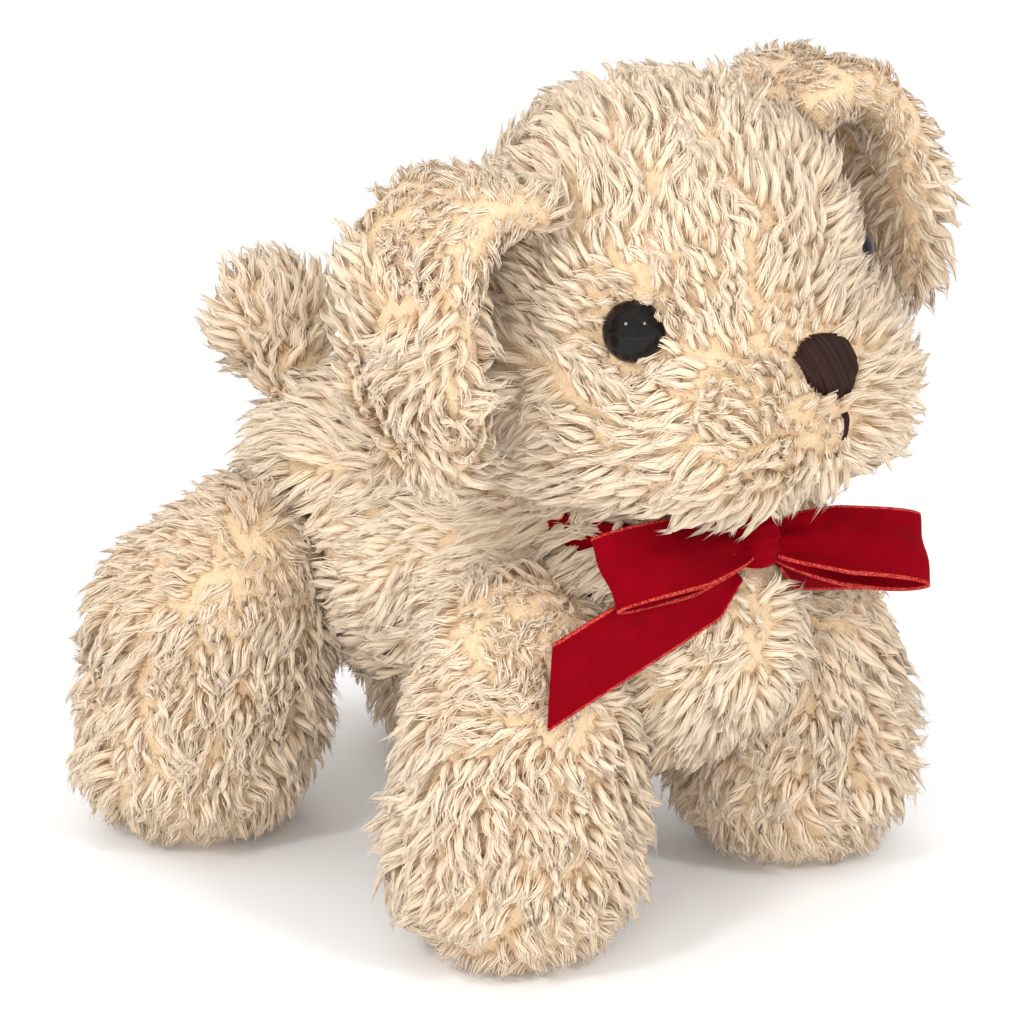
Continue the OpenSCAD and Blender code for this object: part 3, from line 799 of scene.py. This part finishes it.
class PUPPY_OT_pile(bpy.types.Operator):
    """Grow the pile on every skin"""

    bl_idname = "puppy.pile"
    bl_label = "Pile"

    def execute(self, context):
        settings = context.scene.puppy_pile
        tones = [colour_of(settings, key) for key in ("tip", "length_tone", "root", "speck")]
        cream = (pile_finish("cream strands", *tones), pile_finish("cream locks", *tones, streaks=True))
        # the curly pile is a little warmer along its length; its root tone is darker still, more
        # painted shade deep among the curls
        tones[1:3] = [tuple(np.array(tone) * (0.97, 0.94, 0.92)) for tone in tones[1:3]]
        tones[2] = tuple(np.array(tones[2]) * (0.85, 0.78, 0.7))
        curly = (pile_finish("curly strands", *tones), pile_finish("curly locks", *tones, streaks=True))
        trees = {body: tree_of(skin) for body, skin in SKINS.items()}

        def others(*bodies):
            return [trees[body] for body in bodies]

        # torso: combed back and down
        def torso_comb(spots, out):
            ways = np.tile(np.array([0.0, 0.85, -0.5]), (len(spots), 1))
            ways[:, 0] += np.sign(spots[:, 0]) * 0.25
            return ways

        def torso_trim(spots, out):
            # longer at the height of the ribbon's band
            return 1 + 0.45 * np.clip(1 - np.abs(spots[:, 2] - 0.083) / 0.01, 0, 1)

        legs = [f"leg_{leg}" for leg in LEGS]
        bow = [tree_of(*BOW)]
        grow("torso_pile", SKINS["torso"], others(*legs, "tail", "head"), torso_comb,
             "torso", cream, 11, length=settings.torso_pile / MM,
             lift=(40, 95), curl=0.8, trim=torso_trim, clear=bow, pieces=3)

        # head: swept away from the nose, short by the eyes and round the nose
        nose_at = np.array(head_point(0, -50, -14))

        def head_comb(spots, out):
            ways = spots - nose_at
            ways /= np.linalg.norm(ways, axis=1, keepdims=True)
            ways[:, 2] += 0.25
            for eye in eyes:
                away = spots - eye
                far = np.linalg.norm(away, axis=1, keepdims=True)
                ways += 0.5 * away / far * np.clip(1 - (far - 0.006) / 0.008, 0, 1)
            return ways

        eyes = [np.array(eye) for eye in EYES.values()]

        def head_trim(spots, out):
            share = np.ones(len(spots))
            for eye in eyes:
                share *= 0.85 + 0.15 * np.clip((far_from(spots, eye) - 0.0065) / 0.006, 0, 1)
            share *= 0.78 + 0.22 * np.clip((far_from(spots, NOSE_TIP) - 0.006) / 0.014, 0, 1)
            return share

        def head_stand(spots):
            share = 0.4 + 0.6 * np.clip((far_from(spots, NOSE_TIP) - 0.008) / 0.012, 0, 1)
            for eye in eyes:
                share *= 0.6 + 0.4 * np.clip((far_from(spots, eye) - 0.007) / 0.006, 0, 1)
            return share

        nose_inverse = np.array(NOSE.inverted())

        def head_bare(spots, out):
            none = np.zeros(len(spots), bool)
            for eye in eyes:
                none |= far_from(spots, eye) < 0.0056
            local = spots @ nose_inverse[:3, :3].T + nose_inverse[:3, 3]
            flat = np.hypot(local[:, 0], local[:, 1])
            return none | ((flat < 0.0066) & (local[:, 2] > 0))

        grow("head_pile", SKINS["head"], others("ear_right", "ear_left", "torso"), head_comb,
             "head", cream, 12, length=settings.head_pile / MM,
             lift=(34, 95), curl=1.0, trim=head_trim, bare=head_bare, stand=head_stand,
             clear=bow, pieces=4)

        # ears: hang down from their roots, curlier, shorter on the lining
        for side in SIDES:
            root = np.array(Vector(JOINTS[f"ear_{side}_lift"]["pos_m"]))
            inner = np.array(middle(f"ear_{side}_lining"))
            outer = np.array(middle(f"ear_{side}_outer"))

            def ear_comb(spots, out, root=root):
                ways = spots - root
                ways[:, 2] -= 0.01
                return ways

            def ear_trim(spots, out, root=root, way=(outer - inner) / np.linalg.norm(outer - inner)):
                share = np.where((out @ way) < -0.3, 0.85, 1.0)
                return share * (0.5 + 0.5 * np.clip((root[2] + 0.004 - spots[:, 2]) / 0.014, 0, 1))

            grow(f"ear_{side}_pile", SKINS[f"ear_{side}"], others("head"), ear_comb,
                 f"ear_{side}", curly, 20 + SIDES[side],
                 length=settings.ear_pile / MM, lift=(30, 92), curl=1.5, swirl=1.3, trim=ear_trim)

        # tail
        root = np.array(Vector(JOINTS["tail_wag"]["pos_m"]))

        def tail_comb(spots, out):
            ways = spots - root
            return ways / np.linalg.norm(ways, axis=1, keepdims=True)

        grow("tail_pile", SKINS["tail"], others("torso"), tail_comb, "tail", curly, 31,
             length=settings.tail_pile / MM, lift=(25, 85), curl=1.5)

        # legs: down, curly
        def leg_comb(spots, out):
            return np.tile(np.array([0.0, 0.15, -1.0]), (len(spots), 1))

        def leg_trim(spots, out):
            share = 0.35 + 0.65 * np.clip(spots[:, 2] / 0.018, 0, 1)
            return share * (1 - 0.25 * np.clip((spots[:, 2] - 0.046) / 0.014, 0, 1))

        for index, leg in enumerate(LEGS):
            near_bow = bow_from(f"leg_{leg}_swing", -12, -6, 6, 12) if "front" in leg else ()
            grow(f"leg_{leg}_pile", SKINS[f"leg_{leg}"], others("torso"), leg_comb,
                 f"leg_{leg}", curly, 41 + index,
                 length=settings.leg_pile / MM, lift=(30, 90), curl=1.6, swirl=1.5,
                 trim=leg_trim, clear=near_bow, pieces=2)

        # neck
        def neck_comb(spots, out):
            return np.tile(np.array([0.0, 0.2, -1.0]), (len(spots), 1))

        grow("neck_pile", SKINS["neck"], others("torso", "head"), neck_comb,
             "neck", cream, 51, length=7, lift=(30, 80), curl=1.0,
             clear=bow_from("head_turn", -25, -12, 12, 25))
        return {"FINISHED"}


class PUPPY_OT_eyes(bpy.types.Operator):
    """Make the domed eyes"""

    bl_idname = "puppy.eyes"
    bl_label = "Eyes"

    def execute(self, context):
        shader = Shader("polished eye", Roughness=0.05, Specular_IOR_Level=0.16)
        base = colour_of(context.scene.puppy_trim, "eye")
        tone = shader.noise(1.5, 2.0)
        shader.set(Base_Color=shader.mix(tone, base, tuple(2.2 * c for c in base)))
        washer = Shader("moulded washer", Roughness=0.5)
        washer.set(Base_Color=washer.mix(washer.noise(1, 2), (0.2, 0.2, 0.2), (0.3, 0.3, 0.3)))
        for name, side in SIDES.items():
            bm = bmesh.new()
            bmesh.ops.create_uvsphere(bm, u_segments=64, v_segments=32, radius=6 * MM)
            cut = bmesh.ops.bisect_plane(bm, geom=bm.verts[:] + bm.edges[:] + bm.faces[:], dist=1e-7,
                                         plane_co=(0, 0, -1 * MM), plane_no=(0, 0, 1), clear_inner=True)
            rim = [e for e in cut["geom_cut"] if isinstance(e, bmesh.types.BMEdge)]
            bmesh.ops.contextual_create(bm, geom=rim)
            seat = eye_frame(side) @ Matrix.Translation((0, 0, EYE_OUT))
            bmesh.ops.transform(bm, matrix=seat, verts=bm.verts)
            bmesh.ops.recalc_face_normals(bm, faces=bm.faces)
            eye = keep(f"eye_dome_{name}", bm)
            eye.data.materials.append(shader.material)
            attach(eye, "head")
            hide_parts(f"eye_{name}")
            node = frame["nodes"][f"eye_washer_{name}"]
            node.data.materials.clear()
            node.data.materials.append(washer.material)
        return {"FINISHED"}


def nose_half_width(y):
    """Half the nose's width at a height y of its outline, both in nose widths."""
    arc, shift = 0.62, 0.13
    lows, highs = [-9.0], [9.0]
    for a in (-90, 30, 150):
        cx, cy = shift * math.cos(math.radians(a)), shift * math.sin(math.radians(a))
        room = arc * arc - (y - cy) ** 2
        if room <= 0:
            return 0.0
        lows.append(cx - math.sqrt(room))
        highs.append(cx + math.sqrt(room))
    wide = (min(highs) - max(lows)) / 2
    return max(wide, 0.0)


class PUPPY_OT_nose(bpy.types.Operator):
    """Stitch the nose and the mouth"""

    bl_idname = "puppy.nose"
    bl_label = "Nose"

    def execute(self, context):
        thread = Shader("nose thread", Roughness=0.55, Specular_IOR_Level=0.18)
        base = colour_of(context.scene.puppy_trim, "thread")
        strand, along = thread.mark("strand"), thread.mark("along")
        colour = thread.mix(strand, base, (0.035, 0.012, 0.008))
        colour = thread.mix(thread.between(along, 0.9, 1.0) * 0.5, colour, (0.16, 0.05, 0.035))
        thread.set(Base_Color=colour)
        ply = thread.node("ShaderNodeTexWave", {"wave_type": "BANDS", "bands_direction": "DIAGONAL"},
                          {"Vector": thread.place(), "Scale": 900.0, "Distortion": 1.0})
        thread.bump(ply, 0.08, 0.7)
        rng = np.random.default_rng(7)
        wide, count, points = 12.4 * MM, 28, 12
        xs = np.linspace(-0.47, 0.47, count)
        paths, radii, marks = [], [], []
        heights = np.linspace(-0.5, 0.5, 81)
        halves = np.array([nose_half_width(y) for y in heights])
        for layer in range(2):
            for i, x in enumerate(xs):
                inside = heights[halves > abs(x)]
                if len(inside) < 2:
                    continue
                low = inside[0] - rng.uniform(0, 0.035)
                high = inside[-1] + rng.uniform(0, 0.035)
                lean = rng.normal(0, 0.012) + (0.05 if layer else -0.02) * x
                spots = []
                for t in np.linspace(0, 1, points):
                    y = low + (high - low) * t
                    u = x + lean * (t - 0.5) * 2
                    end = min(t, 1 - t) * 2
                    stand = 0.35 + 1.05 * min(1.0, (end * 3.2)) ** 0.5 + 0.25 * layer
                    across = np.array([u * wide, y * wide])
                    ball = math.sqrt(max(NOSE_R ** 2 - across @ across, 0))
                    spot = Vector((across[0], across[1], ball)).normalized()
                    spots.append(spot * (NOSE_R + stand * MM))
                paths.append([list(NOSE @ s) for s in spots])
                radii.append([0.34 * MM * (0.55 + 0.45 * min(1, 6 * min(t, 1 - t)))
                              for t in np.linspace(0, 1, points)])
                marks.append(np.full(points, rng.random()))
        threads = swept("nose_stitches", np.array(paths), np.array(radii), 6,
                        {"strand": np.array(marks)})
        threads.data.materials.append(thread.material)
        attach(threads, "head")
        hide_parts("nose_embroidery")
        mouth_at = muzzle_frame(-3)
        paths, radii = [], []
        for k in range(3):
            line = []
            for t in np.linspace(0, 1, 10):
                y = (0.2 - 0.75 * t) * 7.6 * MM
                x = (k - 1) * 0.42 * MM + 0.25 * MM * math.sin(3 * t + k)
                up = math.sqrt(NOSE_R ** 2 - y * y) + (0.9 - 0.6 * abs(2 * t - 1) ** 4) * MM
                line.append(list(mouth_at @ Vector((x, y, up))))
            paths.append(line)
            radii.append([0.3 * MM] * 10)
        mouth = swept("mouth_stitches", np.array(paths), np.array(radii), 6,
                      {"strand": np.full((3, 10), 0.3)})
        mouth.data.materials.append(thread.material)
        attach(mouth, "head")
        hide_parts("mouth_stitch")
        return {"FINISHED"}


def aimed(at, along, facing):
    """+X along one direction and +Z as near as can be to another."""
    x = Vector(along).normalized()
    y = Vector(facing).cross(x).normalized()
    z = x.cross(y)
    turn = Matrix((x, y, z)).transposed().to_4x4()
    return Matrix.Translation(at) @ turn


def strip(name, shape, columns, rows):
    """A sheet from a grid, each point moved to shape(u, v), u along it and v across, both 0 to 1."""
    bm = bmesh.new()
    bmesh.ops.create_grid(bm, x_segments=columns, y_segments=rows, size=1)
    from_middle = bm.verts.layers.float.new("edge")
    for vert in bm.verts:
        u, v = (vert.co.x + 1) / 2, (vert.co.y + 1) / 2
        vert[from_middle] = abs(2 * v - 1)
        vert.co = shape(u, v)
    bmesh.ops.recalc_face_normals(bm, faces=bm.faces)
    return keep(name, bm)


class PUPPY_OT_bow(bpy.types.Operator):
    """Tie the velvet ribbon bow"""

    bl_idname = "puppy.bow"
    bl_label = "Bow"

    def execute(self, context):
        trim = context.scene.puppy_trim
        velvet = Shader("velvet ribbon", Roughness=0.85, Sheen_Weight=0.3, Sheen_Roughness=0.35,
                        Specular_IOR_Level=0.03)
        velvet.feed(velvet.surface, {"Sheen Tint": (1.0, 0.03, 0.06)})
        base, edge = colour_of(trim, "velvet"), colour_of(trim, "selvedge")
        nap = velvet.noise(5, 3.0)
        fine = velvet.noise(0.25, 2.0)
        colour = velvet.mix(nap, base, tuple(min(1, 1.7 * c) for c in base))
        colour = velvet.mix(fine * 0.35, colour, tuple(0.45 * c for c in base))
        border = velvet.between(velvet.mark("edge"), 0.925, 0.945)
        stitch = velvet.noise(0.5, 1.0)
        woven = velvet.mix(velvet.between(stitch, 0.42, 0.6), edge, (0.62, 0.09, 0.06))
        colour = velvet.mix(border, colour, woven)
        velvet.set(Base_Color=colour)
        velvet.bump(fine * 0.6 + border * stitch * 1.5, 0.25)
        knot_at = middle("bow_knot")
        chest = NECK - Vector((0, 0, 28 * MM))
        wide = trim.ribbon_width
        thick = trim.ribbon_thickness
        start = 4.9 * MM

        def dress(piece, node):
            wall = piece.modifiers.new("thickness", "SOLIDIFY")
            wall.thickness = thick
            wall.offset = 0
            applied(piece)
            piece.data.materials.clear()
            piece.data.materials.append(velvet.material)
            piece.data.polygons.foreach_set("use_smooth", [True] * len(piece.data.polygons))
            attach(piece, "torso")
            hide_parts(node)
            BOW.append(piece)

        # loops: out along the front, round the end and back behind, gathered into the knot
        for name, way in (("right", (-36, 6, -0.5)), ("left", (35, -15, -7))):
            long = 33 * MM
            to = aimed(knot_at, way, knot_at - chest)
            side = SIDES[name]

            def loop(u, v, to=to, long=long, side=side):
                a = 2 * math.pi * u
                out = (1 - math.cos(a)) / 2
                x = start - 1.5 * MM + long * out
                full = 2.9 * MM * math.sin(a) * math.sqrt(out + 0.02) * 1.3
                gather = max(0.0, 1 - out * 2.2)
                pinch = 0.42 + 0.58 * min(1, out * 2.2 + 0.05) ** 0.6
                y = (v - 0.5) * wide * pinch
                face = 1 if math.sin(a) >= 0 else -1
                fold = 1.1 * MM * gather * math.cos((v - 0.5) * 4 * math.pi) * face
                ripple = 0.5 * MM * math.sin(9 * v + 5 * out * side) * (1 - gather)
                return to @ Vector((x, y, full + fold * 0.8 + ripple))

            piece = strip(f"bow_loop_{name}_ribbon", loop, 72, 20)
            dress(piece, f"bow_loop_{name}")
        # tails: flat ribbon with slanted ends
        for name, way in (("right", (-40, 5.5, -14)), ("left", (30, 6, -8))):
            side = SIDES[name]
            at = knot_at + Vector((side * 5.8, 0.8, -4.5)) * MM
            long = 47 * MM
            facing = at + Vector(way) * MM / 2 - chest
            to = aimed(at, way, facing) @ Matrix.Translation((0, 0, 1 * MM))
            to @= Matrix.Rotation(math.radians(26 * side), 4, "X")

            def tail(u, v, to=to, long=long, side=side):
                cut = side * 3.7 * MM * (1 - 2 * v)
                x = (long + cut) * u
                pinch = min(1.0, 0.4 + 0.6 * min(1, x / (0.5 * wide)))
                y = (v - 0.5) * wide * pinch
                wave = 0.7 * MM * math.sin(4.2 * u + 1.2 * v) * u
                fold = 0.7 * MM * max(0, 1 - 4 * u) * math.cos((v - 0.5) * 4 * math.pi)
                return to @ Vector((x, y, wave + fold))

            piece = strip(f"bow_tail_{name}_ribbon", tail, 48, 20)
            dress(piece, f"bow_tail_{name}")
        # the knot's wrap
        low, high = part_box("bow_knot")
        tall, round_r = (high.z - low.z), (high.x - low.x) / 2
        def wrap(u, v):
            a = 2 * math.pi * u
            z = (v - 0.5) * (tall - 0.6 * MM)
            swell = math.sqrt(max(0.0, 1 - (abs(2 * v - 1)) ** 3.2))
            r = round_r * (0.62 + 0.38 * swell) + 0.22 * MM * math.sin(26 * v + 2 * math.sin(a))
            return knot_at + Vector((r * math.cos(a), r * 0.95 * math.sin(a), z))
        bm = bmesh.new()
        piece = strip("bow_knot_wrap", wrap, 48, 24)
        bm.from_mesh(piece.data)
        bmesh.ops.remove_doubles(bm, verts=bm.verts, dist=2e-5)
        bmesh.ops.holes_fill(bm, edges=[e for e in bm.edges if e.is_boundary], sides=0)
        bmesh.ops.recalc_face_normals(bm, faces=bm.faces)
        bm.to_mesh(piece.data)
        bm.free()
        piece.data.materials.append(velvet.material)
        piece.data.polygons.foreach_set("use_smooth", [True] * len(piece.data.polygons))
        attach(piece, "torso")
        BOW.append(piece)
        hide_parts("bow_knot")
        band = frame["nodes"]["neck_ribbon"]
        band.data.materials.clear()
        band.data.materials.append(velvet.material)
        return {"FINISHED"}


class PUPPY_OT_soles(bpy.types.Operator):
    """Finish the soles"""

    bl_idname = "puppy.soles"
    bl_label = "Soles"

    def execute(self, context):
        tone = colour_of(context.scene.puppy_pile, "length_tone")
        finish = ground_finish("brushed sole", tone, tuple(0.6 * c for c in tone))
        for leg in LEGS:
            node = frame["nodes"][f"leg_{leg}_sole"]
            node.data.materials.clear()
            node.data.materials.append(finish)
        return {"FINISHED"}


class PUPPY_PT_panel(bpy.types.Panel):
    """The puppy's pieces and settings"""

    bl_idname = "PUPPY_PT_panel"
    bl_label = "Plush puppy"
    bl_space_type = "VIEW_3D"
    bl_region_type = "UI"
    bl_category = "Puppy"

    def draw(self, context):
        column = self.layout.column()
        for operator in OPERATORS:
            column.operator(operator.bl_idname)
        for group in SETTINGS.values():
            for key in group.__annotations__:
                column.prop(getattr(context.scene, PLACES[group]), key)


SETTINGS = {"puppy_pile": PileSettings, "puppy_trim": TrimSettings, "puppy_stage": StageSettings}
PLACES = {group: place for place, group in SETTINGS.items()}
OPERATORS = (
    PUPPY_OT_camera,
    PUPPY_OT_skins,
    PUPPY_OT_bow,
    PUPPY_OT_eyes,
    PUPPY_OT_nose,
    PUPPY_OT_pile,
    PUPPY_OT_soles,
    PUPPY_OT_stage,
)


def register():
    for kind in (*SETTINGS.values(), *OPERATORS, PUPPY_PT_panel):
        bpy.utils.register_class(kind)
    for place_name, group in SETTINGS.items():
        setattr(bpy.types.Scene, place_name, bpy.props.PointerProperty(type=group))


def unregister():
    for place_name in SETTINGS:
        delattr(bpy.types.Scene, place_name)
    for kind in reversed((*SETTINGS.values(), *OPERATORS, PUPPY_PT_panel)):
        bpy.utils.unregister_class(kind)


def main():
    register()
    for operator in OPERATORS:
        group, name = operator.bl_idname.split(".")
        getattr(getattr(bpy.ops, group), name)()


if __name__ == "__main__":
    main()
